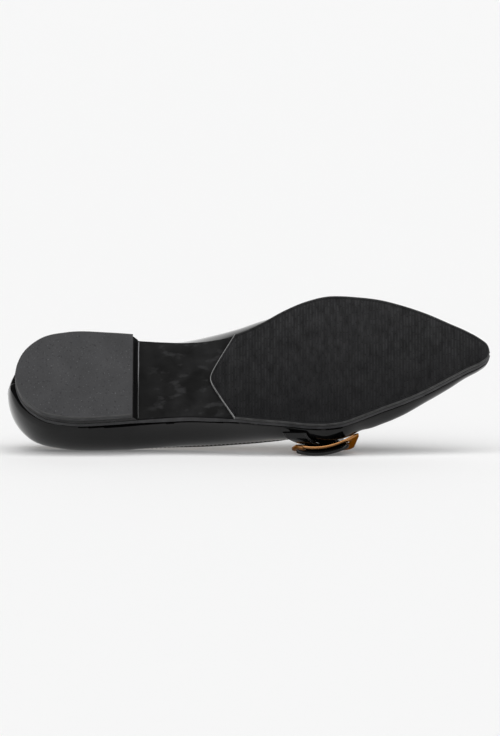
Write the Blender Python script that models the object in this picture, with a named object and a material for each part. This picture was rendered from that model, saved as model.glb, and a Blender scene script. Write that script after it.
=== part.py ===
"""A left pointed flat shoe with a low heel, an instep strap and a gold frame buckle, lying on its outer side.

The shoe is drawn standing, in millimetres: x runs from the back of the heel to the toe, y to the outer
(lateral) side and z up from the standing plane. An empty then lays the whole shoe on its outer side.
"""

import math
from collections import namedtuple

import bmesh
import bpy
import numpy as np
from mathutils import Matrix

MM = 0.001
GAP = 0.3  # between pieces that meet

# Thicknesses
WALL = 2.0  # upper with its lining
SOLE = 3.0
TREAD = 2.0
LIFT = 3.5
INSOLE = 2.0
STRAP = 1.8
TAB = 1.4

# Heel and tread
HEEL_DEPTH = 28.0  # length of the round back of the heel
HEEL_HALF_WIDTH = 24.7
BREAST_X = 62.4  # front of the heel at the ground
BREAST_SLANT = 2.6  # how far the breast leans to the toe
SEAT_Z = 8.6  # underside of the sole over the heel
TREAD_BACK_X = 116.0  # where the tread's back edge meets the sole's edge
TREAD_POINT_X = 103.0  # point of the V in that edge
TREAD_POINT_Y = 1.0
TREAD_POINT_WIDTH = 4.0
SOLE_FLARE = 0.5  # the sole's edge leans out by this much to each side of its outline
EDGE_INSET = 0.3  # tread, heel block and lift stand back from the outline
INSOLE_INSET = WALL + 0.8

# Round nose of the toe
NOSE_X = 244.4
NOSE_Y = -15.4
NOSE_RADIUS = 7.5

# How the shoe lies: its sole leans back from upright, with the lateral quarter and the strap on the floor
LEAN_BACK = math.radians(26.0)
FLOOR_REACH = 42.8  # from the shoe's long axis to the floor

# Strap and buckle, in the plane of the floor: w runs up the shoe from the strap's free end, h off the floor
STRAP_END_Z = 13.0
STRAP_HALF_WIDTH = 11.2
STRAP_ROOT_RISE = 0.4  # of its inner face, over the sloping rim of the topline
TAB_HALF_WIDTH = 5.2
TAB_END_X = 155.0
TAB_OVERLAP = 1.0  # how far the tab runs on past the middle of the near bar
BOW_RADIUS = 36.5  # strap end and buckle bulge outwards along the shoe
BOW_X = 159.0
FAR_BOW = 0.2  # part of that bulge that is left at the buckle's far bar
BUCKLE_X = 164.5
BUCKLE_HALF_LENGTH = 14.8
BUCKLE_NEAR_W = 8.5
BUCKLE_FAR_W = 28.5
BUCKLE_TURN = math.radians(8.0)  # of the frame in its plane, its far bar towards the heel
BUCKLE_CORNER = 3.2
BUCKLE_BAR_WIDTH = 4.2
BUCKLE_BAR_DEPTH = 2.1
BUCKLE_CHAMFER = 0.7
BUCKLE_CLEAR = 0.7  # of the near bar over the strap's end

# Mesh steps
STEPS = 2  # columns between two rows of the table
WALL_STEPS = 10  # from the feather line to the topline
HEEL_STEPS = 14
HEEL_CROWDING = 1.2  # over 1 brings the heel's sections closer together at the back
POINT_STEPS = 4  # along the V of the tread
STRAP_STEPS = 44
TAB_STEPS = 10
ACROSS_STEPS = 6  # across the strap and the tab
BAR_STEPS = 6  # along a long bar of the buckle
CORNER_STEPS = 5
FINE_STEPS = 1200  # where a place is looked up by its x
BLUNT = 0.8  # flat pieces stop this short of the two tips, where their edges would meet
SHARP = math.radians(35)

# Form of the wall
FOOT_HANDLE = 0.5  # handles of its curve, as parts of the chord
TOP_HANDLE = 0.4
SIDE = 90.0  # plan angle of the lateral side


def nose(degrees):
    """Sole edge on the round nose: x, lateral y, medial y and the way it faces."""
    turn = math.radians(degrees)
    reach = NOSE_RADIUS * math.sin(turn)
    return NOSE_X + NOSE_RADIUS * math.cos(turn), NOSE_Y + reach, NOSE_Y - reach, degrees


def heel(degrees):
    """Sole edge on the round back of the heel, in the same form."""
    turn = math.radians(degrees)
    reach = HEEL_HALF_WIDTH * math.sin(turn)
    return HEEL_DEPTH * (1 - math.cos(turn)), reach, -reach, 180 - degrees


# One row for each station from toe to heel.
# x, lat, med: the sole's edge. aim: plan angle of the lateral wall. under: height of the sole's underside.
# top_x and the four that follow: where the walls end, on the vamp's ridge or on the topline.
# lean and roll: the wall's angle to upright at the feather line (outwards) and at its top (inwards).
Row = namedtuple(
    "Row",
    "x lat med aim under top_x lat_y lat_z med_y med_z lat_lean lat_roll med_lean med_roll",
)
ROWS = [
    Row(*nose(0), 7.4, 237.0, -15.0, 23.0, -15.0, 23.0, 2, 90, 2, 90),
    Row(*nose(35), 7.2, 237.0, -15.0, 23.0, -15.0, 23.0, 3, 90, 3, 90),
    Row(*nose(65), 6.9, 237.0, -15.0, 23.0, -15.0, 23.0, 5, 90, 5, 90),
    Row(240.0, -4.4, -26.5, SIDE, 6.0, 234.0, -14.6, 23.8, -14.6, 23.8, 16, 90, 8, 90),
    Row(231.0, 1.0, -30.4, SIDE, 5.0, 227.0, -14.0, 25.5, -14.0, 25.5, 25, 90, 8, 90),
    Row(219.0, 8.2, -35.5, SIDE, 3.8, 217.0, -13.3, 27.8, -13.3, 27.8, 24, 90, 10, 90),
    Row(206.0, 14.7, -39.9, SIDE, 2.9, 206.0, -12.6, 30.0, -12.6, 30.0, 34, 90, 12, 90),
    Row(194.0, 19.6, -43.0, SIDE, 2.35, 197.0, -12.0, 31.8, -12.0, 31.8, 34, 90, 12, 90),
    Row(187.0, 22.6, -44.1, SIDE, 2.25, 191.0, -11.5, 33.0, -11.5, 33.0, 27, 90, 12, 90),
    Row(181.0, 25.0, -44.7, SIDE, 2.25, 189.5, -4.5, 32.7, -18.5, 32.9, 20, 75, 11, 75),
    Row(174.5, 27.4, -45.2, SIDE, 2.25, 185.0, 4.0, 32.2, -26.0, 32.6, 28, 62, 10, 60),
    Row(166.0, 28.8, -45.1, SIDE, 2.25, 176.0, 12.0, 31.4, -32.8, 32.2, 42, 48, 8, 45),
    Row(155.0, 28.8, -42.4, SIDE, 2.25, 161.0, 19.8, 31.2, -37.4, 32.2, 31, 34, 16, 25),
    Row(142.5, 27.4, -36.9, SIDE, 2.45, 146.0, 23.8, 32.6, -38.6, 33.5, 18, 22, 30, 12),
    Row(130.0, 26.1, -29.8, SIDE, 3.0, 131.0, 24.8, 35.8, -37.4, 36.2, 11, 14, 47, 6),
    Row(117.0, 24.4, -24.2, SIDE, 3.9, 116.0, 24.5, 40.0, -33.6, 40.2, 10, 12, 50, 5),
    Row(104.0, 23.1, -21.8, SIDE, 5.2, 101.0, 23.8, 44.2, -30.4, 44.2, 10, 14, 44, 8),
    Row(92.0, 22.2, -21.3, SIDE, 6.5, 87.0, 22.9, 47.2, -27.2, 47.4, 12, 20, 36, 12),
    Row(80.0, 22.3, -22.0, SIDE, 7.7, 73.0, 22.2, 49.6, -24.6, 49.6, 14, 28, 28, 18),
    Row(66.0, 23.0, -23.2, SIDE, SEAT_Z, 58.0, 21.8, 51.2, -22.8, 51.2, 15, 33, 21, 22),
    Row(50.0, 24.3, -24.4, SIDE, SEAT_Z, 42.0, 21.6, 52.2, -21.6, 52.2, 15, 34, 17, 24),
    Row(*heel(90), SEAT_Z, 22.5, 20.2, 53.2, -19.8, 53.2, 14, 31, 14, 26),
    Row(*heel(60), SEAT_Z, 10.5, 16.6, 54.4, -16.4, 54.4, 17, 27, 16, 25),
    Row(*heel(30), SEAT_Z, 3.2, 9.2, 55.6, -9.2, 55.6, 17, 22, 17, 22),
    Row(*heel(0), SEAT_Z, 0.6, 0.0, 56.2, 0.0, 56.2, 17, 19, 17, 19),
]
THROAT = 8  # the row where the ridge ends and the collar opens
OTHER_SIDE = "x med lat aim under top_x med_y med_z lat_y lat_z med_lean med_roll lat_lean lat_roll".split()

# The strap's middle line: y, z, middle x, half width, and how much of the bow it takes
StrapRow = namedtuple("StrapRow", "y z x half bow")
# The same for the part that lies by the floor, as w and h
FloorRow = namedtuple("FloorRow", "w h x half bow")

MATERIALS = {
    "heel_lift": ((0.075, 0.075, 0.078), 0.75, 0.0),
    "heel_block": ((0.012, 0.012, 0.013), 0.35, 0.0),
    "outsole": ((0.035, 0.035, 0.037), 0.55, 0.0),
    "forepart_tread": ((0.03, 0.03, 0.031), 0.7, 0.0),
    "upper": ((0.008, 0.008, 0.009), 0.12, 0.0),
    "insole": ((0.35, 0.27, 0.19), 0.6, 0.0),
    "strap_tab": ((0.008, 0.008, 0.009), 0.15, 0.0),
    "instep_strap": ((0.008, 0.008, 0.009), 0.15, 0.0),
    "buckle_frame": ((0.62, 0.36, 0.10), 0.22, 1.0),
}


def smooth(knots, values, at):
    """A smooth curve through values at knots, read at the places in at. The end rows only steer it."""
    rise = np.diff(values, axis=0) / np.diff(knots)[:, None]
    gap = np.diff(knots)[:, None]
    slope = (rise[:-1] * gap[1:] + rise[1:] * gap[:-1]) / (gap[1:] + gap[:-1])
    found = []
    for place in at:
        k = int(np.clip(np.searchsorted(knots, place) - 1, 1, len(knots) - 3))
        width = knots[k + 1] - knots[k]
        u = (place - knots[k]) / width
        start = (2 * u**3 - 3 * u**2 + 1) * values[k] + (u**3 - 2 * u**2 + u) * width * slope[k - 1]
        end = (3 * u**2 - 2 * u**3) * values[k + 1] + (u**3 - u**2) * width * slope[k]
        found.append(start + end)
    return np.array(found)


class Last:
    """The table of rows as smooth curves along the shoe, read at a place from toe to heel."""

    def __init__(self):
        toe_side = ROWS[1]._replace(aim=-ROWS[1].aim)
        heel_side = ROWS[-2]._replace(aim=360 - ROWS[-2].aim)
        self.values = np.array([self.mirrored(toe_side), *ROWS, self.mirrored(heel_side)])
        x, lat, med = (self.values[:, Row._fields.index(name)] for name in ("x", "lat", "med"))
        lateral = np.hypot(np.diff(x), np.diff(lat))
        medial = np.hypot(np.diff(x), np.diff(med))
        self.knots = np.concatenate([[0], np.cumsum((lateral + medial) / 2)])
        self.heel_end = self.knots[-2]
        self.toe_end = self.knots[1]
        self.fine = np.linspace(self.toe_end, self.heel_end, FINE_STEPS + 1)
        fine_rows = smooth(self.knots, self.values, self.fine)
        self.fine_x = fine_rows[:, Row._fields.index("x")]
        self.fine_top = fine_rows[:, Row._fields.index("top_x")]

    @staticmethod
    def mirrored(row):
        return Row(*(getattr(row, name) for name in OTHER_SIDE))

    def row(self, place):
        return Row(*smooth(self.knots, self.values, [place])[0])

    def at_x(self, x):
        """The place where the sole's edge is at this x."""
        return float(np.interp(-x, -self.fine_x, self.fine))

    def at_top_x(self, x):
        """The place where the topline is at this x."""
        return float(np.interp(-x, -self.fine_top, self.fine))

    def stations(self, steps):
        """Places with an even number of steps between the rows of the table, and the throat's index."""
        inner = self.knots[1:-1]
        places = [a + (b - a) * i / steps for a, b in zip(inner, inner[1:]) for i in range(steps)]
        return [*places, self.heel_end], THROAT * steps


LAST = Last()


def side_of(row, medial):
    """(facing x, facing y, edge y, top y, top z, lean, roll) of one side of a row."""
    turn = math.radians(row.aim)
    if medial:
        return math.cos(turn), -math.sin(turn), row.med, row.med_y, row.med_z, row.med_lean, row.med_roll
    return math.cos(turn), math.sin(turn), row.lat, row.lat_y, row.lat_z, row.lat_lean, row.lat_roll


def under(row):
    """Underside of the sole, flat under the ball so that the tread stands on the ground there."""
    return max(row.under, TREAD + GAP)


def edge(row, medial, inset):
    """Point of the sole's edge, moved inwards by inset."""
    out_x, out_y, y, *_ = side_of(row, medial)
    return np.array([row.x - inset * out_x, y - inset * out_y])


def wall_curve(row, medial, steps):
    """Points up one side of the upper, from the feather line to the ridge or topline."""
    out_x, out_y, y, top_y, top_z, lean, roll = side_of(row, medial)
    foot = np.array([row.x, y, under(row) + SOLE + GAP])
    top = np.array([row.top_x, top_y, top_z])
    chord = np.linalg.norm(top - foot)
    lean, roll = math.radians(lean), math.radians(roll)
    rise = FOOT_HANDLE * chord * np.array([out_x * math.sin(lean), out_y * math.sin(lean), math.cos(lean)])
    fall = TOP_HANDLE * chord * np.array([out_x * math.sin(roll), out_y * math.sin(roll), -math.cos(roll)])
    u = np.linspace(0, 1, steps + 1)[:, None]
    return (
        (1 - u) ** 3 * foot
        + 3 * (1 - u) ** 2 * u * (foot + rise)
        + 3 * (1 - u) * u**2 * (top + fall)
        + u**3 * top
    )


def material_of(name):
    colour, roughness, metallic = MATERIALS[name]
    material = bpy.data.materials.new(name)
    material.use_nodes = True
    shader = material.node_tree.nodes["Principled BSDF"]
    shader.inputs["Base Color"].default_value = (*colour, 1.0)
    shader.inputs["Roughness"].default_value = roughness
    shader.inputs["Metallic"].default_value = metallic
    return material


def add_object(name, points, faces, parent):
    """One named object from points in millimetres, its doubled points joined and its faces turned out."""
    mesh = bpy.data.meshes.new(name)
    mesh.from_pydata([tuple(p) for p in np.asarray(points) * MM], [], faces)
    shape = bmesh.new()
    shape.from_mesh(mesh)
    bmesh.ops.remove_doubles(shape, verts=shape.verts, dist=0.001 * MM)
    bmesh.ops.recalc_face_normals(shape, faces=shape.faces)
    shape.to_mesh(mesh)
    shape.free()
    mesh.shade_smooth()
    mesh.set_sharp_from_angle(angle=SHARP)
    mesh.materials.append(material_of(name))
    piece = bpy.data.objects.new(name, mesh)
    bpy.context.scene.collection.objects.link(piece)
    piece.parent = parent
    return piece


def add_loft(name, rings, parent, closed=False):
    """A solid through rings of as many points each, capped at both ends unless it closes on itself."""
    size = len(rings[0])
    points = [p for ring in rings for p in ring]
    faces = []
    for k in range(len(rings) if closed else len(rings) - 1):
        here, ahead = k * size, (k + 1) % len(rings) * size
        for i in range(size):
            j = (i + 1) % size
            faces.append((here + i, here + j, ahead + j, ahead + i))
    if not closed:
        faces.append(tuple(range(size)))
        faces.append(tuple(range(len(points) - size, len(points))))
    return add_object(name, points, faces, parent)


def plate_ring(low, high, low_z, high_z, low_inset, high_inset):
    """A cross-section of a flat piece between a lower and an upper outline row."""
    corners = []
    for row, medial, inset, z in (
        (low, False, low_inset, low_z),
        (high, False, high_inset, high_z),
        (high, True, high_inset, high_z),
        (low, True, low_inset, low_z),
    ):
        corners.append((*edge(row, medial, inset), z))
    return corners


def blunt_rows():
    """Rows from toe to heel that stop just short of both tips."""
    places, _ = LAST.stations(STEPS)
    return [LAST.row(p) for p in np.clip(places, LAST.toe_end + BLUNT, LAST.heel_end - BLUNT)]


def heel_rows(front_x):
    """Rows from the heel's back to a straight front edge, closer together round the back."""
    front = LAST.at_x(front_x)
    back = LAST.heel_end - BLUNT
    parts = [(i / HEEL_STEPS) ** HEEL_CROWDING for i in range(HEEL_STEPS + 1)]
    return [LAST.row(back + (front - back) * part) for part in parts]


def make_heel_lift(parent):
    rings = [plate_ring(r, r, 0.0, LIFT, EDGE_INSET, 0.0) for r in heel_rows(BREAST_X)]
    return add_loft("heel_lift", rings, parent)


def make_heel_block(parent):
    low_rows = heel_rows(BREAST_X + GAP)
    high_rows = heel_rows(BREAST_X + BREAST_SLANT)
    rings = [
        plate_ring(low, high, LIFT + GAP, SEAT_Z - GAP, EDGE_INSET, EDGE_INSET)
        for low, high in zip(low_rows, high_rows)
    ]
    return add_loft("heel_block", rings, parent)


def make_outsole(parent):
    rings = [
        plate_ring(r, r, under(r), under(r) + SOLE, SOLE_FLARE, -SOLE_FLARE) for r in blunt_rows()
    ]
    return add_loft("outsole", rings, parent)


def make_forepart_tread(parent):
    """The half-sole: the sole's outline back to TREAD_BACK_X, then straight edges to the point of the V."""
    corner = LAST.row(LAST.at_x(TREAD_BACK_X))
    rows = [r for r in blunt_rows() if r.x > TREAD_BACK_X + TREAD]
    rows.append(corner)
    for i in range(1, POINT_STEPS + 1):
        part = i / POINT_STEPS
        row = LAST.row(LAST.at_x(TREAD_BACK_X + part * (TREAD_POINT_X - TREAD_BACK_X)))
        lat = corner.lat + part * (TREAD_POINT_Y + TREAD_POINT_WIDTH / 2 - corner.lat)
        med = corner.med + part * (TREAD_POINT_Y - TREAD_POINT_WIDTH / 2 - corner.med)
        rows.append(row._replace(lat=lat, med=med))
    rings = [
        plate_ring(r, r, under(r) - GAP - TREAD, under(r) - GAP, EDGE_INSET, EDGE_INSET) for r in rows
    ]
    return add_loft("forepart_tread", rings, parent)


def make_insole(parent):
    rings = []
    for row in blunt_rows():
        base = under(row) + SOLE + GAP
        rings.append(plate_ring(row, row, base, base + INSOLE, INSOLE_INSET, INSOLE_INSET))
    return add_loft("insole", rings, parent)


def make_upper(parent):
    """A sheet of wall curves all round the feather line, thickened inwards."""
    places, throat = LAST.stations(STEPS)
    rows = [LAST.row(p) for p in places]
    lateral = [wall_curve(r, False, WALL_STEPS) for r in rows]
    medial = [wall_curve(r, True, WALL_STEPS) for r in rows]
    for k in range(throat + 1):
        ridge = (lateral[k][-1] + medial[k][-1]) / 2
        lateral[k][-1] = ridge
        medial[k][-1] = ridge
    columns = lateral + medial[-2:0:-1]
    size = WALL_STEPS + 1
    points = [p for column in columns for p in column]
    faces = []
    for k in range(len(columns)):
        here, ahead = k * size, (k + 1) % len(columns) * size
        faces += [(here + i, ahead + i, ahead + i + 1, here + i + 1) for i in range(WALL_STEPS)]
    upper = add_object("upper", points, faces, parent)
    wall = upper.modifiers.new("wall", "SOLIDIFY")
    wall.thickness = WALL * MM
    wall.offset = -1
    wall.use_even_offset = True
    return upper


def by_floor(w, h):
    """(y, z) of a point w up the shoe from the strap's end and h off the plane that the shoe lies on."""
    start_y = (FLOOR_REACH - STRAP_END_Z * math.sin(LEAN_BACK)) / math.cos(LEAN_BACK)
    y = start_y - w * math.sin(LEAN_BACK) - h * math.cos(LEAN_BACK)
    z = STRAP_END_Z + w * math.cos(LEAN_BACK) - h * math.sin(LEAN_BACK)
    return y, z


def bow(x):
    """How far the bowed strap end and buckle curve away from the floor at this x."""
    return (x - BOW_X) ** 2 / (2 * BOW_RADIUS)


def band_rings(rows, thickness, steps):
    """Rings of a flat band along rows of its middle line, bowed across its width."""
    nearby = 0.05  # for the way that the middle line runs
    values = np.array(rows)
    values = np.vstack([2 * values[0] - values[1], values, 2 * values[-1] - values[-2]])
    knots = np.concatenate([[0], np.cumsum(np.linalg.norm(np.diff(values[:, :2], axis=0), axis=1))])
    places = np.linspace(knots[1], knots[-2], steps + 1)
    line = smooth(knots, values, places)
    ahead = smooth(knots, values, np.clip(places + nearby, None, knots[-2]))
    behind = smooth(knots, values, np.clip(places - nearby, knots[1], None))
    rings = []
    for (y, z, x, half, part), (run_y, run_z) in zip(line, (ahead - behind)[:, :2]):
        length = math.hypot(run_y, run_z)
        in_y, in_z = -run_z / length, run_y / length
        outer, inner = [], []
        for i in range(ACROSS_STEPS + 1):
            here = x - half + 2 * half * i / ACROSS_STEPS
            lift = part * bow(here)
            for side, off in ((outer, -thickness / 2), (inner, thickness / 2)):
                shift = lift + off
                side.append((here, y + in_y * shift, z + in_z * shift))
        rings.append(outer + inner[::-1])
    return rings


def make_instep_strap(parent):
    """From its free end, over the near bar, under the far bar, over the instep to the medial topline."""
    lay = STRAP / 2
    under_bar = BUCKLE_BAR_DEPTH + 2 * GAP + lay
    by_the_floor = [
        FloorRow(0.0, lay, 163.0, 13.4, 1.0),
        FloorRow(BUCKLE_NEAR_W, lay, 165.4, 11.6, 1.0),
        FloorRow(14.0, lay, 165.0, STRAP_HALF_WIDTH, 1.0),
        FloorRow(22.0, under_bar - 0.2, 163.9, STRAP_HALF_WIDTH, 0.5),
        FloorRow(BUCKLE_FAR_W, under_bar, 162.4, STRAP_HALF_WIDTH, FAR_BOW),
    ]
    rows = [StrapRow(*by_floor(r.w, r.h), r.x, r.half, r.bow) for r in by_the_floor]
    rows += [
        StrapRow(17.0, 46.5, 161.2, STRAP_HALF_WIDTH, 0.0),
        StrapRow(7.0, 53.0, 160.6, STRAP_HALF_WIDTH, 0.0),
        StrapRow(-6.0, 56.0, 160.2, STRAP_HALF_WIDTH, 0.0),
        StrapRow(-19.0, 54.0, 160.0, STRAP_HALF_WIDTH, 0.0),
        StrapRow(-29.5, 47.5, 160.0, STRAP_HALF_WIDTH, 0.0),
        StrapRow(-34.5, 40.0, 160.0, STRAP_HALF_WIDTH, 0.0),
    ]
    rings = band_rings(rows, STRAP, STRAP_STEPS)
    rings.append(strap_root(rings[-1]))
    return add_loft("instep_strap", rings, parent)


def strap_root(ring):
    """The strap's last ring, set on the medial topline point by point."""
    inner = len(ring) // 2  # the ring's second half is the inner face
    middle_y = sum(p[1] for p in ring) / len(ring)
    root = []
    for i, (x, y, _) in enumerate(ring):
        row = LAST.row(LAST.at_top_x(x))
        inwards = (y - middle_y) / STRAP * WALL
        rise = 2 * GAP + (STRAP_ROOT_RISE if i >= inner else 0)
        root.append((x, row.med_y + WALL / 2 + inwards, row.med_z + rise))
    return root


def make_strap_tab(parent):
    """From the feather line out to the inside of the buckle's near bar."""
    over_bar = STRAP + BUCKLE_CLEAR + BUCKLE_BAR_DEPTH + GAP + TAB / 2
    _, bar_w = turn_buckle(TAB_END_X, BUCKLE_NEAR_W)
    end_y, end_z = by_floor(bar_w + TAB_OVERLAP, over_bar)
    rows = [
        StrapRow(30.5, 6.2, 147.8, TAB_HALF_WIDTH, 0.0),
        StrapRow(32.2, 9.0, 149.4, TAB_HALF_WIDTH, 0.0),
        StrapRow(end_y + 0.5, end_z - 5.2, 152.2, TAB_HALF_WIDTH, 0.5),
        StrapRow(end_y, end_z, TAB_END_X, TAB_HALF_WIDTH, 1.0),
    ]
    return add_loft("strap_tab", band_rings(rows, TAB, TAB_STEPS), parent)


def turn_buckle(x, w):
    """A point of the buckle's frame after its turn about the frame's middle."""
    off_x = x - BUCKLE_X
    off_w = w - (BUCKLE_NEAR_W + BUCKLE_FAR_W) / 2
    turned_x = off_x * math.cos(BUCKLE_TURN) - off_w * math.sin(BUCKLE_TURN)
    turned_w = off_x * math.sin(BUCKLE_TURN) + off_w * math.cos(BUCKLE_TURN)
    return x - off_x + turned_x, w - off_w + turned_w


def bar_section():
    """Chamfered section of the buckle's bar, as steps out of the frame and up off the floor."""
    out, up = BUCKLE_BAR_WIDTH / 2, BUCKLE_BAR_DEPTH / 2
    quarter = [(out, up - BUCKLE_CHAMFER), (out - BUCKLE_CHAMFER, up)]
    half = quarter + [(-x, y) for x, y in reversed(quarter)]
    return half + [(-x, -y) for x, y in half]


def frame_path():
    """Points round the buckle's middle line: x, w and the way out of the frame."""
    middle_w = (BUCKLE_NEAR_W + BUCKLE_FAR_W) / 2
    run = BUCKLE_HALF_LENGTH - BUCKLE_CORNER
    rise = (BUCKLE_FAR_W - BUCKLE_NEAR_W) / 2 - BUCKLE_CORNER
    path = []
    for quarter, (side_x, side_w) in enumerate(((1, 1), (-1, 1), (-1, -1), (1, -1))):
        for i in range(CORNER_STEPS + 1):
            turn = math.radians(90 * (quarter + i / CORNER_STEPS))
            x = BUCKLE_X + side_x * run + BUCKLE_CORNER * math.cos(turn)
            w = middle_w + side_w * rise + BUCKLE_CORNER * math.sin(turn)
            path.append((x, w, math.cos(turn), math.sin(turn)))
        if side_x == side_w:
            x, w, out_x, out_w = path[-1]
            path += [(x - 2 * side_x * run * i / BAR_STEPS, w, out_x, out_w) for i in range(1, BAR_STEPS)]
    return path


def make_buckle_frame(parent):
    """A bowed frame, its far bar on the floor and its near bar over the strap's end."""
    near_h = STRAP + BUCKLE_CLEAR + BUCKLE_BAR_DEPTH / 2
    far_h = BUCKLE_BAR_DEPTH / 2
    rings = []
    for x, w, out_x, out_w in frame_path():
        ring = []
        for out, up in bar_section():
            here_x, here_w = x + out * out_x, w + out * out_w
            part = (here_w - BUCKLE_NEAR_W) / (BUCKLE_FAR_W - BUCKLE_NEAR_W)
            here_x, here_w = turn_buckle(here_x, here_w)
            rise = bow(here_x) * (1 + part * (FAR_BOW - 1))
            h = near_h + part * (far_h - near_h) + up + rise
            ring.append((here_x, *by_floor(here_w, h)))
        rings.append(ring)
    return add_loft("buckle_frame", rings, parent, closed=True)


def lay_down(parent, pieces):
    """Turn the shoe on its outer side and put its box's bottom centre at the origin."""
    turn = Matrix.Rotation(-(math.pi / 2 + LEAN_BACK), 4, "X")
    bpy.context.view_layer.update()
    graph = bpy.context.evaluated_depsgraph_get()
    corners = []
    for piece in pieces:
        solid = piece.evaluated_get(graph)
        corners += [turn @ v.co for v in solid.to_mesh().vertices]
        solid.to_mesh_clear()
    low = np.min(corners, axis=0)
    high = np.max(corners, axis=0)
    middle = (low + high) / 2
    parent.matrix_world = Matrix.Translation((-middle[0], -middle[1], -low[2])) @ turn


def main():
    for old in list(bpy.data.objects):
        bpy.data.objects.remove(old)
    shoe = bpy.data.objects.new("shoe", None)
    bpy.context.scene.collection.objects.link(shoe)
    makers = (
        make_heel_lift,
        make_heel_block,
        make_outsole,
        make_forepart_tread,
        make_insole,
        make_upper,
        make_instep_strap,
        make_strap_tab,
        make_buckle_frame,
    )
    pieces = [make(shoe) for make in makers]
    lay_down(shoe, pieces)


main()
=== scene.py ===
"""Looks of a left pointed flat shoe: patent upper, ribbed half-sole, low heel, instep strap and gold buckle.

The shoe is drawn standing, in millimetres: x runs from the back of the heel to the toe, y to the outer
(lateral) side and z up from the standing plane. PLACE lays it down where the frame has it.
"""

import math
from collections import namedtuple

import bmesh
import bpy
import numpy as np
from mathutils import Matrix, Vector, noise
from mathutils.bvhtree import BVHTree


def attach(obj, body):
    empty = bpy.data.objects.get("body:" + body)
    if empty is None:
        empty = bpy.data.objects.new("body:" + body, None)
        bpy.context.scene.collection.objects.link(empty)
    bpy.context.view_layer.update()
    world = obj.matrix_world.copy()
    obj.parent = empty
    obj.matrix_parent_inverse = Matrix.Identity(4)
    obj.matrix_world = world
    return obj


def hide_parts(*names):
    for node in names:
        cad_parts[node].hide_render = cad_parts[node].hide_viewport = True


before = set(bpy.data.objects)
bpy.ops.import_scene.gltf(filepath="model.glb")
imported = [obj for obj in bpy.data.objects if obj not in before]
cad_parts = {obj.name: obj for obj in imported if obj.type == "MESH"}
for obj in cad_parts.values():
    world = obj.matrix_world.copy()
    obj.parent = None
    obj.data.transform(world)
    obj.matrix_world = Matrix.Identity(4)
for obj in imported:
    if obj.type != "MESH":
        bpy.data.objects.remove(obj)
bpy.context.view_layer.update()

MM = 0.001
BODY = "root"

# Sizes of the pieces, as in the frame but for the tab, which is drawn wider
GAP = 0.3
WALL = 2.0
SOLE = 3.0
TREAD = 2.0
LIFT = 3.5
INSOLE = 2.0
STRAP = 1.8
TAB = 1.4
HEEL_DEPTH = 28.0
HEEL_HALF_WIDTH = 24.7
BREAST_X = 62.4
BREAST_SLANT = 2.6
SEAT_Z = 8.6
TREAD_BACK_X = 116.0
TREAD_POINT_X = 103.0
TREAD_POINT_Y = 1.0
EDGE_INSET = 0.3
INSOLE_INSET = WALL + 0.8
NOSE_X = 244.4
NOSE_Y = -15.4
NOSE_RADIUS = 7.5
LEAN_BACK = math.radians(26.0)
FLOOR_REACH = 42.8
STRAP_END_Z = 13.0
STRAP_HALF_WIDTH = 11.2
TAB_HALF_WIDTH = 6.2
TAB_END_X = 155.0
TAB_OVERLAP = 1.0
BOW_RADIUS = 36.5
BOW_X = 159.0
FAR_BOW = 0.2
BUCKLE_X = 164.5
BUCKLE_HALF_LENGTH = 14.8
BUCKLE_NEAR_W = 8.5
BUCKLE_FAR_W = 28.5
BUCKLE_TURN = math.radians(8.0)
BUCKLE_CORNER = 3.2
BUCKLE_BAR_WIDTH = 4.2
BUCKLE_BAR_DEPTH = 2.1
BUCKLE_CLEAR = 0.7
FOOT_HANDLE = 0.5
TOP_HANDLE = 0.4
SIDE = 90.0
BLUNT = 0.8

# Mesh steps
UPPER_STEPS = 8  # columns between two rows of the table
WALL_STEPS = 44
FOOT_CROWDING = 1.5  # closer steps up the wall near the feather line
PLATE_STEPS = 10
ROUND_STEPS = 4
HEEL_STEPS = 60
HEEL_CROWDING = 1.3
STRAP_STEPS = 140
TAB_STEPS = 40
ACROSS_STEPS = 26
CORNER_STEPS = 12
BAR_STEPS = 30
FINE_STEPS = 2400
SHARP = math.radians(40)
GOLDEN = 0.618034  # steps of this part of a whole spread evenly
WELD = 0.0005  # points this near become one


def nose(degrees):
    """Sole edge on the round nose: x, lateral y, medial y and the way it faces."""
    turn = math.radians(degrees)
    reach = NOSE_RADIUS * math.sin(turn)
    return NOSE_X + NOSE_RADIUS * math.cos(turn), NOSE_Y + reach, NOSE_Y - reach, degrees


def heel(degrees):
    """Sole edge on the round back of the heel, in the same form."""
    turn = math.radians(degrees)
    reach = HEEL_HALF_WIDTH * math.sin(turn)
    return HEEL_DEPTH * (1 - math.cos(turn)), reach, -reach, 180 - degrees


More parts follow.
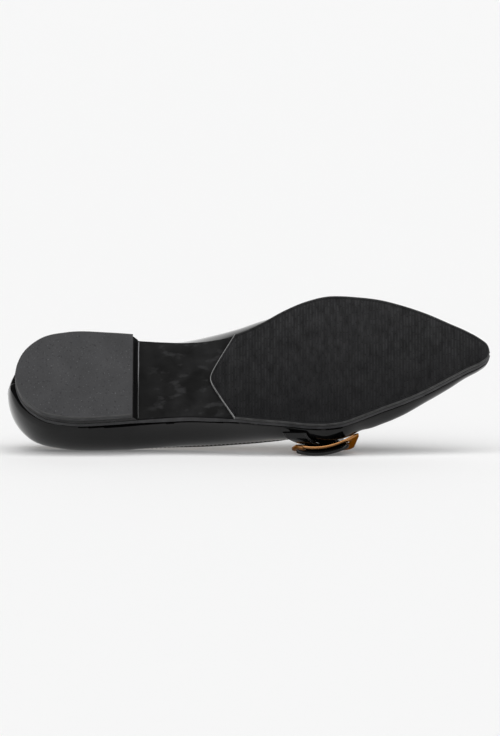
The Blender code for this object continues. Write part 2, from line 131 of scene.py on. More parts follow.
# One row for each station from toe to heel.
# x, lat, med: the sole's edge. aim: plan angle of the lateral wall. under: height of the sole's underside.
# top_x and the four that follow: where the walls end, on the vamp's ridge or on the topline.
# lean and roll: the wall's angle to upright at the feather line (outwards) and at its top (inwards).
Row = namedtuple(
    "Row",
    "x lat med aim under top_x lat_y lat_z med_y med_z lat_lean lat_roll med_lean med_roll",
)
ROWS = [
    Row(*nose(0), 7.4, 237.0, -15.0, 23.0, -15.0, 23.0, 2, 90, 2, 90),
    Row(*nose(35), 7.2, 237.0, -15.0, 23.0, -15.0, 23.0, 3, 90, 3, 90),
    Row(*nose(65), 6.9, 237.0, -15.0, 23.0, -15.0, 23.0, 5, 90, 5, 90),
    Row(240.0, -4.4, -26.5, SIDE, 6.0, 234.0, -14.6, 23.8, -14.6, 23.8, 16, 90, 8, 90),
    Row(231.0, 1.0, -30.4, SIDE, 5.0, 227.0, -14.0, 25.5, -14.0, 25.5, 25, 90, 8, 90),
    Row(219.0, 8.2, -35.5, SIDE, 3.8, 217.0, -13.3, 27.8, -13.3, 27.8, 24, 90, 10, 90),
    Row(206.0, 14.7, -39.9, SIDE, 2.9, 206.0, -12.6, 30.0, -12.6, 30.0, 34, 90, 12, 90),
    Row(194.0, 19.6, -43.0, SIDE, 2.35, 197.0, -12.0, 31.8, -12.0, 31.8, 34, 90, 12, 90),
    Row(187.0, 22.6, -44.1, SIDE, 2.25, 191.0, -11.5, 33.0, -11.5, 33.0, 27, 90, 12, 90),
    Row(181.0, 25.0, -44.7, SIDE, 2.25, 189.5, -4.5, 32.7, -18.5, 32.9, 20, 75, 11, 75),
    Row(174.5, 27.4, -45.2, SIDE, 2.25, 185.0, 4.0, 32.2, -26.0, 32.6, 28, 62, 10, 60),
    Row(166.0, 28.8, -45.1, SIDE, 2.25, 176.0, 12.0, 31.4, -32.8, 32.2, 42, 48, 8, 45),
    Row(155.0, 28.8, -42.4, SIDE, 2.25, 161.0, 19.8, 31.2, -37.4, 32.2, 31, 34, 16, 25),
    Row(142.5, 27.4, -36.9, SIDE, 2.45, 146.0, 23.8, 32.6, -38.6, 33.5, 18, 22, 30, 12),
    Row(130.0, 26.1, -29.8, SIDE, 3.0, 131.0, 24.8, 35.8, -37.4, 36.2, 11, 14, 47, 6),
    Row(117.0, 24.4, -24.2, SIDE, 3.9, 116.0, 24.5, 40.0, -33.6, 40.2, 10, 12, 50, 5),
    Row(104.0, 23.1, -21.8, SIDE, 5.2, 101.0, 23.8, 44.2, -30.4, 44.2, 10, 14, 44, 8),
    Row(92.0, 22.2, -21.3, SIDE, 6.5, 87.0, 22.9, 47.2, -27.2, 47.4, 12, 20, 36, 12),
    Row(80.0, 22.3, -22.0, SIDE, 7.7, 73.0, 22.2, 49.6, -24.6, 49.6, 14, 28, 28, 18),
    Row(66.0, 23.0, -23.2, SIDE, SEAT_Z, 58.0, 21.8, 51.2, -22.8, 51.2, 15, 33, 21, 22),
    Row(50.0, 24.3, -24.4, SIDE, SEAT_Z, 42.0, 21.6, 52.2, -21.6, 52.2, 15, 34, 17, 24),
    Row(*heel(90), SEAT_Z, 22.5, 20.2, 53.2, -19.8, 53.2, 14, 31, 14, 26),
    Row(*heel(60), SEAT_Z, 10.5, 16.6, 54.4, -16.4, 54.4, 17, 27, 16, 25),
    Row(*heel(30), SEAT_Z, 3.2, 9.2, 55.6, -9.2, 55.6, 17, 22, 17, 22),
    Row(*heel(0), SEAT_Z, 0.6, 0.0, 56.2, 0.0, 56.2, 17, 19, 17, 19),
]
POLE = 2  # the last of the rows that share the toe's top point
THROAT = 8  # the row where the ridge ends and the collar opens
OTHER_SIDE = "x med lat aim under top_x med_y med_z lat_y lat_z med_lean med_roll lat_lean lat_roll".split()

# The strap's middle line: y, z, middle x, half width, and how much of the bow it takes
StrapRow = namedtuple("StrapRow", "y z x half bow")
# The same for the part that lies by the floor, as w and h
FloorRow = namedtuple("FloorRow", "w h x half bow")


def smooth(knots, values, at):
    """A smooth curve through values at knots, read at the places in at. The end rows only steer it."""
    gap = np.diff(knots)[:, None]
    rise = np.diff(values, axis=0) / gap
    slope = (rise[:-1] * gap[1:] + rise[1:] * gap[:-1]) / (gap[1:] + gap[:-1])
    at = np.asarray(at, float)
    k = np.clip(np.searchsorted(knots, at) - 1, 1, len(knots) - 3)
    width = (knots[k + 1] - knots[k])[:, None]
    u = (at - knots[k])[:, None] / width
    start = (2 * u**3 - 3 * u**2 + 1) * values[k] + (u**3 - 2 * u**2 + u) * width * slope[k - 1]
    end = (3 * u**2 - 2 * u**3) * values[k + 1] + (u**3 - u**2) * width * slope[k]
    return start + end


class Last:
    """The table of rows as smooth curves along the shoe, read at a place from toe to heel."""

    def __init__(self):
        toe_side = ROWS[1]._replace(aim=-ROWS[1].aim)
        heel_side = ROWS[-2]._replace(aim=360 - ROWS[-2].aim)
        self.values = np.array([self.mirrored(toe_side), *ROWS, self.mirrored(heel_side)])
        table = Row(*self.values.T)
        lateral = np.hypot(np.diff(table.x), np.diff(table.lat))
        medial = np.hypot(np.diff(table.x), np.diff(table.med))
        self.knots = np.concatenate([[0], np.cumsum((lateral + medial) / 2)])
        self.toe_end, self.heel_end = self.knots[1], self.knots[-2]
        self.places = np.linspace(self.toe_end, self.heel_end, FINE_STEPS + 1)
        self.fine = Row(*smooth(self.knots, self.values, self.places).T)

    @staticmethod
    def mirrored(row):
        return Row(*(getattr(row, name) for name in OTHER_SIDE))

    def row(self, place):
        return Row(*smooth(self.knots, self.values, [place])[0])

    def at_x(self, x):
        """The place where the sole's edge is at this x."""
        return float(np.interp(-x, -self.fine.x, self.places))

    def at_top_x(self, x):
        """The place where the topline is at this x."""
        return float(np.interp(-x, -self.fine.top_x, self.places))

    def under_at(self, x):
        """Heights of the sole's underside at these x."""
        return np.interp(-np.asarray(x), -self.fine.x, np.maximum(self.fine.under, TREAD + GAP))

    def stations(self, steps):
        """Places with an even number of steps between the rows of the table."""
        inner = self.knots[1:-1]
        places = [a + (b - a) * i / steps for a, b in zip(inner, inner[1:]) for i in range(steps)]
        return [*places, self.heel_end]


LAST = Last()


def side_of(row, medial):
    """(facing x, facing y, edge y, top y, top z, lean, roll) of one side of a row."""
    turn = math.radians(row.aim)
    if medial:
        return math.cos(turn), -math.sin(turn), row.med, row.med_y, row.med_z, row.med_lean, row.med_roll
    return math.cos(turn), math.sin(turn), row.lat, row.lat_y, row.lat_z, row.lat_lean, row.lat_roll


def under(row):
    """Underside of the sole, flat under the ball."""
    return max(row.under, TREAD + GAP)


def edge(row, medial, inset):
    """Point of the sole's edge, moved inwards by inset."""
    out_x, out_y, y, *_ = side_of(row, medial)
    return np.array([row.x - inset * out_x, y - inset * out_y])


def wall_curve(row, medial, steps):
    """Points up one side of the upper, from the feather line to the ridge or topline."""
    out_x, out_y, y, top_y, top_z, lean, roll = side_of(row, medial)
    foot = np.array([row.x, y, under(row) + SOLE + GAP])
    top = np.array([row.top_x, top_y, top_z])
    chord = np.linalg.norm(top - foot)
    lean, roll = math.radians(lean), math.radians(roll)
    rise = FOOT_HANDLE * chord * np.array([out_x * math.sin(lean), out_y * math.sin(lean), math.cos(lean)])
    fall = TOP_HANDLE * chord * np.array([out_x * math.sin(roll), out_y * math.sin(roll), -math.cos(roll)])
    u = (np.linspace(0, 1, steps + 1) ** FOOT_CROWDING)[:, None]
    return (
        (1 - u) ** 3 * foot
        + 3 * (1 - u) ** 2 * u * (foot + rise)
        + 3 * (1 - u) * u**2 * (top + fall)
        + u**3 * top
    )


def by_floor(w, h):
    """(y, z) of a point w up the shoe from the strap's end and h off the plane that the shoe lies on."""
    start_y = (FLOOR_REACH - STRAP_END_Z * math.sin(LEAN_BACK)) / math.cos(LEAN_BACK)
    y = start_y - w * math.sin(LEAN_BACK) - h * math.cos(LEAN_BACK)
    z = STRAP_END_Z + w * math.cos(LEAN_BACK) - h * math.sin(LEAN_BACK)
    return y, z


def bow(x):
    """How far the bowed strap end and buckle curve away from the floor at this x."""
    return (x - BOW_X) ** 2 / (2 * BOW_RADIUS)


def clamp(value):
    """The nearest number from 0 to 1."""
    return min(1.0, max(0.0, value))


def full_turn(steps):
    """Angles of even steps round a circle."""
    return [2 * math.pi * i / steps for i in range(steps)]


def spread(number):
    """A number between 0 and 1 that jumps about evenly from one whole number to the next."""
    return number * GOLDEN % 1


def find_place():
    """The matrix that lays the standing shoe down on the frame, read off the heel lift."""
    turn = Matrix.Rotation(-(math.pi / 2 + LEAN_BACK), 4, "X")
    back = turn.to_3x3().transposed()
    lift = np.array([back @ v.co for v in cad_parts["heel_lift"].data.vertices])
    low, high = lift.min(axis=0), lift.max(axis=0)
    return turn @ Matrix.Translation((low[0], (low[1] + high[1]) / 2, low[2]))


PLACE = find_place()


def laid(points):
    """Points of the standing shoe in millimetres, laid down on the frame in metres."""
    turn = np.array(PLACE.to_3x3())
    return np.asarray(points, float) * MM @ turn.T + np.array(PLACE.translation)


# Materials

MIX_COLOURS = (6, 7)  # the mixing node's sockets for colours
MIX_RESULT = 2
FINE_NOISE = 4.0


class Finish:
    """A Principled material with constant values on its own sockets, and textures in the shoe's own axes."""

    def __init__(self, name, colour, roughness, **sockets):
        self.material = bpy.data.materials.new(name)
        self.material.use_nodes = True
        self.nodes = self.material.node_tree.nodes
        self.links = self.material.node_tree.links
        self.shader = self.nodes["Principled BSDF"]
        self.shader.inputs["Base Color"].default_value = (*colour, 1.0)
        self.shader.inputs["Roughness"].default_value = roughness
        for socket, value in sockets.items():
            self.shader.inputs[socket.replace("_", " ")].default_value = value
        self.normal = None

    def node(self, kind, **inputs):
        made = self.nodes.new("ShaderNode" + kind)
        for socket, value in inputs.items():
            made.inputs[socket.replace("_", " ")].default_value = value
        return made

    def place(self, stretch=(1, 1, 1)):
        """The standing shoe's axes in metres, each stretched."""
        where = self.node("TexCoord")
        turned = self.node("Mapping", Location=PLACE.translation, Rotation=PLACE.to_euler())
        turned.vector_type = "TEXTURE"
        turned.inputs["Scale"].default_value = [1 / s for s in stretch]
        self.links.new(where.outputs["Object"], turned.inputs["Vector"])
        return turned.outputs["Vector"]

    def noise(self, size, detail=FINE_NOISE, stretch=(1, 1, 1)):
        """Noise with features of about this size in millimetres."""
        texture = self.node("TexNoise", Scale=1 / (size * MM), Detail=detail)
        self.links.new(self.place(stretch), texture.inputs["Vector"])
        return texture.outputs["Fac"]

    def along(self, axis, start, end):
        """0 to 1 along one of the shoe's axes, between two places in millimetres."""
        parts = self.node("SeparateXYZ")
        self.links.new(self.place(), parts.inputs["Vector"])
        return self.range(parts.outputs[axis], 0, 1, start * MM, end * MM)

    def range(self, source, low, high, start=0.3, end=0.7):
        """Numbers from low to high while source goes from start to end."""
        made = self.node("MapRange", From_Min=start, From_Max=end, To_Min=low, To_Max=high)
        self.links.new(source, made.inputs["Value"])
        return made.outputs["Result"]

    def ramp(self, source, low, high, start=0.3, end=0.7):
        """Colours from low to high while source goes from start to end."""
        made = self.node("ValToRGB")
        for element, position, colour in zip(made.color_ramp.elements, (start, end), (low, high)):
            element.position = position
            element.color = (*colour, 1.0)
        self.links.new(source, made.inputs["Fac"])
        return made.outputs["Color"]

    def mix(self, share, first, second):
        """Colours from first to second by share."""
        made = self.node("Mix")
        made.data_type = "RGBA"
        self.links.new(share, made.inputs["Factor"])
        for socket, colour in zip(MIX_COLOURS, (first, second)):
            if isinstance(colour, tuple):
                made.inputs[socket].default_value = (*colour, 1.0)
            else:
                self.links.new(colour, made.inputs[socket])
        return made.outputs[MIX_RESULT]

    def colour(self, source):
        self.links.new(source, self.shader.inputs["Base Color"])

    def mottle(self, size, low, high, detail=FINE_NOISE):
        """A base colour that wanders between two colours."""
        self.colour(self.ramp(self.noise(size, detail), low, high))

    def dull(self, size, low, high, detail=FINE_NOISE):
        """A roughness that wanders between two values."""
        self.links.new(self.range(self.noise(size, detail), low, high), self.shader.inputs["Roughness"])

    def grain(self, size, depth, strength, detail=FINE_NOISE, stretch=(1, 1, 1)):
        """Bump of a size and a real depth in millimetres, over those made before it."""
        made = self.node("Bump", Strength=strength, Distance=depth * MM)
        self.links.new(self.noise(size, detail, stretch), made.inputs["Height"])
        if self.normal is not None:
            self.links.new(self.normal, made.inputs["Normal"])
        self.normal = made.outputs["Normal"]
        self.links.new(self.normal, self.shader.inputs["Normal"])


def grey(value, blue=1.04):
    return value, value, value * blue


def patent():
    """Black patent leather: a mirror-like skin with a faint ripple and a trace of handling marks."""
    coat = {"Coat_Weight": 0.25, "Coat_Roughness": 0.02}
    finish = Finish("patent_leather", grey(0.003), 0.07, Specular_IOR_Level=0.15, **coat)
    finish.dull(9.0, 0.05, 0.12, 5.0)
    finish.mottle(14.0, grey(0.002), grey(0.005))
    finish.grain(5.0, 0.020, 0.5, 2.0)
    finish.grain(0.9, 0.003, 0.5, 2.0)
    return finish.material


def patent_edge():
    """The patent of binding and back seam, a little duller than the wall."""
    coat = {"Coat_Weight": 0.2, "Coat_Roughness": 0.1}
    finish = Finish("patent_edge", grey(0.006), 0.2, Specular_IOR_Level=0.35, **coat)
    finish.dull(3.0, 0.14, 0.3)
    finish.grain(1.1, 0.03, 0.5, 3.0)
    return finish.material


def lining():
    """Pale kid lining with a fine grain."""
    finish = Finish("lining_leather", (0.46, 0.36, 0.26), 0.55, Sheen_Weight=0.08)
    finish.mottle(18.0, (0.40, 0.31, 0.22), (0.51, 0.40, 0.295), 6.0)
    finish.dull(6.0, 0.48, 0.62)
    finish.grain(0.5, 0.05, 0.6, 5.0)
    return finish.material


BREAST_SHADE_REACH = (3.2, 16.0)  # painted shade by the heel's breast: distances from the breast where it starts to fade and where it is gone


def sole_leather():
    """Smooth blackened sole leather with cloudy polish marks and a few smears, and painted shade that
    darkens it by the heel's breast.
    """
    finish = Finish("sole_leather", grey(0.008), 0.5, Specular_IOR_Level=0.08)
    clouds = finish.ramp(finish.noise(15.0, 5.0, (1.0, 1.2, 1.0)), grey(0.001), grey(0.008), 0.38, 0.62)
    smears = finish.range(finish.noise(6.0, 3.0, (0.8, 1.4, 1.0)), 0.0, 0.8, 0.56, 0.68)
    mottled = finish.mix(smears, clouds, grey(0.019))
    # painted shade: almost black by the breast, fading into the mottled leather further along the waist
    start, end = (BREAST_X + reach for reach in BREAST_SHADE_REACH)
    finish.colour(finish.mix(finish.along("X", start, end), grey(0.002), mottled))
    finish.dull(8.0, 0.40, 0.60)
    finish.grain(8.0, 0.05, 0.4, 3.0)
    finish.grain(0.7, 0.03, 0.4)
    return finish.material


def sole_edge():
    """Black edge paint on the sides of sole and heel lift."""
    finish = Finish("sole_edge_paint", grey(0.010), 0.45, Specular_IOR_Level=0.15)
    finish.mottle(6.0, grey(0.026), grey(0.048), 5.0)
    finish.dull(4.0, 0.38, 0.55)
    finish.grain(1.5, 0.05, 0.5, stretch=(0.4, 0.4, 1.5))
    return finish.material


PALER_TOWARDS_Y = (22.0, -42.0)  # the half-sole gets paler from the first to the second


def tread_rubber(name, strength):
    """Black rubber in streaks, paler towards the medial edge; its colours scale with strength."""
    finish = Finish(name, grey(0.012 * strength), 0.62, Specular_IOR_Level=0.1)
    streaks = finish.noise(2.4, 4.0, (1.0, 0.35, 0.35))
    dark = finish.ramp(streaks, grey(0.004 * strength, 1.12), grey(0.0095 * strength, 1.08))
    pale = finish.ramp(streaks, grey(0.010 * strength), grey(0.027 * strength))
    finish.colour(finish.mix(finish.along("Y", *PALER_TOWARDS_Y), dark, pale))
    finish.dull(12.0, 0.55, 0.72)
    finish.grain(0.6, 0.05, 0.5)
    return finish.material


def cut_rubber_highlight(name, low, high):
    """A skived rubber edge, paler where it is cut, and paler still as a painted highlight where the edge
    catches the light.
    """
    finish = Finish(name, grey((low + high) / 2), 0.55, Specular_IOR_Level=0.12)
    finish.mottle(4.0, grey(low, 1.0), grey(high, 1.0), 5.0)
    finish.grain(0.8, 0.05, 0.5)
    return finish.material


def lift_rubber():
    """Grey heel rubber with fine pale and dark specks and soft scuffs."""
    finish = Finish("lift_rubber", grey(0.05), 0.75, Specular_IOR_Level=0.12)
    clouds = finish.ramp(finish.noise(16.0, 6.0), grey(0.040), grey(0.050))
    pits = finish.range(finish.noise(1.6, 2.0), 0.0, 0.7, 0.40, 0.30)
    pale = finish.range(finish.noise(0.9, 1.0, (1.0, 0.8, 1.0)), 0.0, 0.7, 0.66, 0.78)
    finish.colour(finish.mix(pale, finish.mix(pits, clouds, grey(0.026)), grey(0.11)))
    finish.dull(10.0, 0.66, 0.82)
    finish.grain(0.8, 0.07, 0.55, 5.0)
    return finish.material


def heel_cover():
    """The covered heel: black leather with a satin finish."""
    finish = Finish("heel_cover", grey(0.006), 0.36, Specular_IOR_Level=0.15)
    finish.dull(5.0, 0.26, 0.42)
    finish.grain(1.0, 0.03, 0.4)
    return finish.material


def gold_plate():
    """Polished gold plate with faint handling marks."""
    tint = (0.5, 0.3, 0.14, 1.0)
    finish = Finish("gold_plate", (0.41, 0.20, 0.078), 0.2, Metallic=1.0, Specular_Tint=tint)
    finish.mottle(7.0, (0.37, 0.172, 0.062), (0.46, 0.232, 0.096))
    finish.dull(2.5, 0.14, 0.28, 5.0)
    finish.grain(2.8, 0.012, 0.4, 2.0)
    return finish.material


def waxed_thread():
    """Black waxed thread with a twist."""
    finish = Finish("waxed_thread", grey(0.02), 0.45, Specular_IOR_Level=0.4)
    finish.mottle(0.5, grey(0.012), grey(0.035))
    finish.grain(0.3, 0.04, 0.5, 2.0, (1, 1, 2))
    return finish.material


def gap_shadow():
    """Painted shade: a dull black for the foot of the wall, standing in for the shadow in the gap between
    sole and upper.
    """
    return Finish("gap_shadow", grey(0.001), 0.95, Specular_IOR_Level=0.02).material


BEAD_HIGHLIGHT_Y = (6.0, -8.0)  # painted highlight: the bead's colour gets brighter from the first to the second


def bead_painted_highlight():
    """Wax in the corner of the breast, with a painted highlight that makes it bright on the medial half."""
    finish = Finish("breast_bead", grey(0.02), 0.3, Specular_IOR_Level=0.5)
    # painted highlight: dark on the lateral half, bright on the medial half
    finish.colour(finish.ramp(finish.along("Y", *BEAD_HIGHLIGHT_Y), grey(0.012), grey(0.16), 0.0, 1.0))
    finish.grain(1.2, 0.04, 0.5)
    return finish.material


def pale_floor():
    """A plain pale floor."""
    finish = Finish("pale_floor", grey(FLOOR_TONE, 1.0), 0.9, Specular_IOR_Level=0.05)
    finish.shader.inputs["Emission Strength"].default_value = FLOOR_GLOW
    finish.shader.inputs["Emission Color"].default_value = (1.0, 1.0, 1.0, 1.0)
    return finish.material


# Building meshes


def add_piece(name, points, faces, materials, node=None, indexes=None):
    """One piece from points of the standing shoe. It rides on the body and may stand for a node."""
    mesh = bpy.data.meshes.new(name)
    mesh.from_pydata([tuple(p) for p in laid(points)], [], faces)
    for material in materials:
        mesh.materials.append(material)
    if indexes is not None:
        mesh.polygons.foreach_set("material_index", indexes)
    shape = bmesh.new()
    shape.from_mesh(mesh)
    bmesh.ops.remove_doubles(shape, verts=shape.verts, dist=WELD * MM)
    bmesh.ops.recalc_face_normals(shape, faces=shape.faces)
    shape.to_mesh(mesh)
    shape.free()
    mesh.shade_smooth()
    mesh.set_sharp_from_angle(angle=SHARP)
    piece = bpy.data.objects.new(name, mesh)
    bpy.context.scene.collection.objects.link(piece)
    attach(piece, BODY)
    if node:
        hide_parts(node)
    return piece


def loft_faces(count, size, closed=False, capped=True):
    """Faces between rings of points, ring after ring, with caps unless the loft closes on itself."""
    faces = []
    for k in range(count if closed else count - 1):
        here, ahead = k * size, (k + 1) % count * size
        faces += [(here + i, here + (i + 1) % size, ahead + (i + 1) % size, ahead + i) for i in range(size)]
    if capped and not closed:
        faces.append(tuple(range(size)))
        faces.append(tuple(range((count - 1) * size, count * size)))
    return faces


def add_loft(name, rings, materials, node=None, closed=False, indexes=None):
    points = [p for ring in rings for p in ring]
    faces = loft_faces(len(rings), len(rings[0]), closed)
    return add_piece(name, points, faces, materials, node, indexes)


def unit(vectors):
    return vectors / np.maximum(np.linalg.norm(vectors, axis=-1, keepdims=True), 1e-9)


def tube_rings(path, ups, half_side, half_up, sides, closed=False):
    """Elliptic rings along a path, half_up high along ups and half_side wide across them."""
    if closed:
        run = np.roll(path, -1, axis=0) - np.roll(path, 1, axis=0)
    else:
        run = np.gradient(path, axis=0)
    across = unit(np.cross(run, ups))
    ups = unit(np.cross(across, run))
    return [
        [p + a * half_side * math.cos(t) + u * half_up * math.sin(t) for t in full_turn(sides)]
        for p, a, u in zip(path, across, ups)
    ]


STITCH_LENGTH = 1.7
STITCH_PITCH = 2.3
STITCH_RADIUS = 0.18
STITCH_ARC = (0.12, 0.88)  # part of a half wave that a stitch's middle line follows
STITCH_RISE = 1.3  # height of that wave and how far it is sunk, in radii
STITCH_SINK = 0.8
STITCH_SWELL = 0.5  # part of a stitch's radius that goes with the wave
STITCH_RINGS = 5
STITCH_SIDES = 6


def add_stitches(name, runs, pitch=STITCH_PITCH, length=STITCH_LENGTH):
    """Stitches with sunk ends along runs, each a path with the way that its leather faces."""
    swell = np.sin(np.linspace(*STITCH_ARC, STITCH_RINGS) * math.pi)
    points, faces = [], []
    for path, facing in runs:
        steps = np.linalg.norm(np.diff(path, axis=0), axis=1)
        reach = np.concatenate([[0], np.cumsum(steps)])
        for k in range(int(reach[-1] / pitch)):
            at = pitch * (k + 0.5) + np.linspace(-length / 2, length / 2, STITCH_RINGS)
            line = np.stack([np.interp(at, reach, path[:, axis]) for axis in range(3)], axis=1)
            out = unit(np.stack([np.interp(at, reach, facing[:, axis]) for axis in range(3)], axis=1))
            line = line + out * (STITCH_RADIUS * (STITCH_RISE * swell - STITCH_SINK))[:, None]
            run = unit(np.gradient(line, axis=0))
            across = unit(np.cross(run, out))
            base = len(points)
            for p, a, u, s in zip(line, across, out, swell):
                radius = STITCH_RADIUS * (1 - STITCH_SWELL + STITCH_SWELL * s)
                points += [p + radius * (a * math.cos(t) + u * math.sin(t)) for t in full_turn(STITCH_SIDES)]
            faces += [tuple(base + i for i in f) for f in loft_faces(STITCH_RINGS, STITCH_SIDES)]
    return add_piece(name, points, faces, [waxed_thread()], None)


def rounded_side(low_z, high_z, low_inset, high_inset, low_round, high_round):
    """(inset, z) up the side of a plate, with both of its edges rounded."""
    turns = [math.pi / 2 * i / ROUND_STEPS for i in range(ROUND_STEPS + 1)]
    steps = [(1 - math.sin(t), 1 - math.cos(t)) for t in turns]
    low = [(low_inset + low_round * s, low_z + low_round * c) for s, c in steps]
    high = [(high_inset + high_round * c, high_z - high_round * s) for s, c in steps]
    return low + high


def plate_ring(low, high, side, medial_side=None):
    """A cross-section of a plate: up the lateral side and down the medial one, between two outline rows."""
    heights = np.array([z for _, z in side])
    share = (heights - heights.min()) / (heights.max() - heights.min())
    ring = []
    for medial in (False, True):
        points = []
        for part, (inset, z) in zip(share, medial_side if medial and medial_side else side):
            a, b = edge(low, medial, inset), edge(high, medial, inset)
            points.append((*(a + (b - a) * part), z))
        ring += points[::-1] if medial else points
    return ring


def side_indexes(count, size, first, last, index):
    """Material indexes of a plate's loft: index on the side's segments from first to last, else 0."""
    marked = set(range(first, last)) | {size - 2 - i for i in range(first, last)}
    ring = [index if i in marked else 0 for i in range(size)]
    return ring * (count - 1) + [0, 0]


def blunt_rows(steps):
    """Rows from toe to heel that stop just short of both tips."""
    places = LAST.stations(steps)
    return [LAST.row(p) for p in np.clip(places, LAST.toe_end + BLUNT, LAST.heel_end - BLUNT)]


def heel_rows(front_x):
    """Rows from the heel's back to a straight front edge, closer together round the back."""
    front = LAST.at_x(front_x)
    back = LAST.heel_end - BLUNT
    parts = [(i / HEEL_STEPS) ** HEEL_CROWDING for i in range(HEEL_STEPS + 1)]
    return [LAST.row(back + (front - back) * part) for part in parts]


# Sole and heel

LIFT_BEVEL = 0.6
LIFT_ROUND = 0.2
BLOCK_ROUND = 0.3
INSOLE_ROUNDS = (0.2, 0.7)  # of its lower and upper edge
SOLE_ROUND = 0.6
SOLE_FLARE = 0.5
SOLE_LIP = 0.2  # how far the sole's upper edge stands out of its outline
WAIST_LIP = 0.6  # how much more it does so on the lateral side of the waist
WAIST_X = 90.0
WAIST_HALF_LENGTH = 22.0


def make_heel_lift():
    side = rounded_side(0.0, LIFT, EDGE_INSET, 0.0, LIFT_BEVEL, LIFT_ROUND)
    rings = [plate_ring(r, r, side) for r in heel_rows(BREAST_X)]
    count, size = len(rings), len(rings[0])
    bevel = side_indexes(count, size, 0, ROUND_STEPS, 1)
    stack = side_indexes(count, size, ROUND_STEPS, 2 * ROUND_STEPS + 1, 2)
    indexes = [max(pair) for pair in zip(bevel, stack)]
    # the bevel is paler than the lift, partly cut rubber and partly a painted highlight
    materials = [lift_rubber(), cut_rubber_highlight("lift_bevel_highlight", 0.045, 0.068), sole_edge()]
    return add_loft("heel_top_lift", rings, materials, "heel_lift", indexes=indexes)


def make_heel_block():
    side = rounded_side(LIFT + GAP, SEAT_Z - GAP, EDGE_INSET, EDGE_INSET, BLOCK_ROUND, BLOCK_ROUND)
    low_rows = heel_rows(BREAST_X + GAP)
    high_rows = heel_rows(BREAST_X + BREAST_SLANT)
    rings = [plate_ring(low, high, side) for low, high in zip(low_rows, high_rows)]
    return add_loft("covered_heel_block", rings, [heel_cover()], "heel_block")


BEAD_RADIUS = 0.32
BEAD_STEPS = 40
BEAD_SIDES = 8
BEAD_MARGIN = 1.5  # between its ends and the sole's edges
BEAD_AHEAD = 0.3  # of the breast
BEAD_PROUD = 0.1  # how far its middle line stands off the sole
BEAD_WANDER = 0.12
BEAD_WAVE = 6.0
BEAD_WAY = (0.5, 0.0, -0.8)  # out of the corner


def make_breast_bead():
    """A fine bead of finish along the corner between the heel's breast and the waist, with a painted
    highlight on its medial half.
    """
    row = LAST.row(LAST.at_x(BREAST_X + BREAST_SLANT))
    ys = np.linspace(row.med + BEAD_MARGIN, row.lat - BEAD_MARGIN, BEAD_STEPS)
    xs = [row.x + BEAD_AHEAD + BEAD_WANDER * noise.noise(Vector((y / BEAD_WAVE, 0.0, 0.0))) for y in ys]
    path = np.array([(x, y, under(row) - BEAD_PROUD) for x, y in zip(xs, ys)])
    ups = np.tile(BEAD_WAY, (len(path), 1))
    rings = tube_rings(path, ups, BEAD_RADIUS, BEAD_RADIUS, BEAD_SIDES)
    return add_loft("heel_breast_bead", rings, [bead_painted_highlight()])


def make_outsole():
    rings = []
    for row in blunt_rows(PLATE_STEPS):
        low = under(row)
        waist = math.exp(-(((row.x - WAIST_X) / WAIST_HALF_LENGTH) ** 4))
        lips = (SOLE_LIP + WAIST_LIP * waist, SOLE_LIP)
        sides = [rounded_side(low, low + SOLE, SOLE_FLARE, -lip, SOLE_ROUND, SOLE_ROUND) for lip in lips]
        rings.append(plate_ring(row, row, *sides))
    indexes = side_indexes(len(rings), len(rings[0]), ROUND_STEPS, 2 * ROUND_STEPS + 1, 1)
    return add_loft("smooth_outsole", rings, [sole_leather(), sole_edge()], "outsole", indexes=indexes)


RIB_PITCH = 1.6
RIB_WIDTH = 0.85
RIB_TOP = 0.6  # part of its width that is flat on top
RIB_HEIGHT = 0.25
RIB_ROOT = 0.1  # how far a rib goes into the plate
RIB_LENGTHS = (2.5, 7.0)
RIB_BREAK = 0.45
RIB_MARGIN = 0.35
RIM_WIDTH = 0.8
RIM_STEP = 0.15
SKIVE = 0.5
TREAD_ROUND = 0.15  # of the edge by the sole
TREAD_SAMPLE = 0.7
POINT_STEPS = 30
TREAD_POINT_ROUND = 2.2  # of the V's point


def tread_sides():
    """The half-sole's two edges in plan, from the toe to the V's rounded point, and where the V starts."""
    places = np.arange(LAST.toe_end, LAST.at_x(TREAD_BACK_X), TREAD_SAMPLE)
    rows = [LAST.row(p) for p in places]
    corner = LAST.row(LAST.at_x(TREAD_BACK_X))
    depth = TREAD_BACK_X - TREAD_POINT_X
    shares = np.linspace(1, 0, POINT_STEPS + 1)
    flank = math.sqrt((depth + TREAD_POINT_ROUND) ** 2 - TREAD_POINT_ROUND**2)
    xs = TREAD_POINT_X + np.sqrt((shares * flank) ** 2 + TREAD_POINT_ROUND**2) - TREAD_POINT_ROUND
    sides = []
    for medial, reach in ((False, corner.lat), (True, corner.med)):
        edges = [edge(row, medial, 0.0) for row in rows]
        ys = TREAD_POINT_Y + (reach - TREAD_POINT_Y) * shares
        sides.append(np.array([*edges, *zip(xs, ys)]))
    return sides[0], sides[1], len(rows)


def inset_loop(loop, inset):
    """A closed plan outline moved inwards."""
    run = unit(np.roll(loop, -1, axis=0) - np.roll(loop, 1, axis=0))
    out = np.stack([run[:, 1], -run[:, 0]], axis=1)
    if np.sum(out * (loop - loop.mean(axis=0))) < 0:
        out = -out
    return loop - inset * out


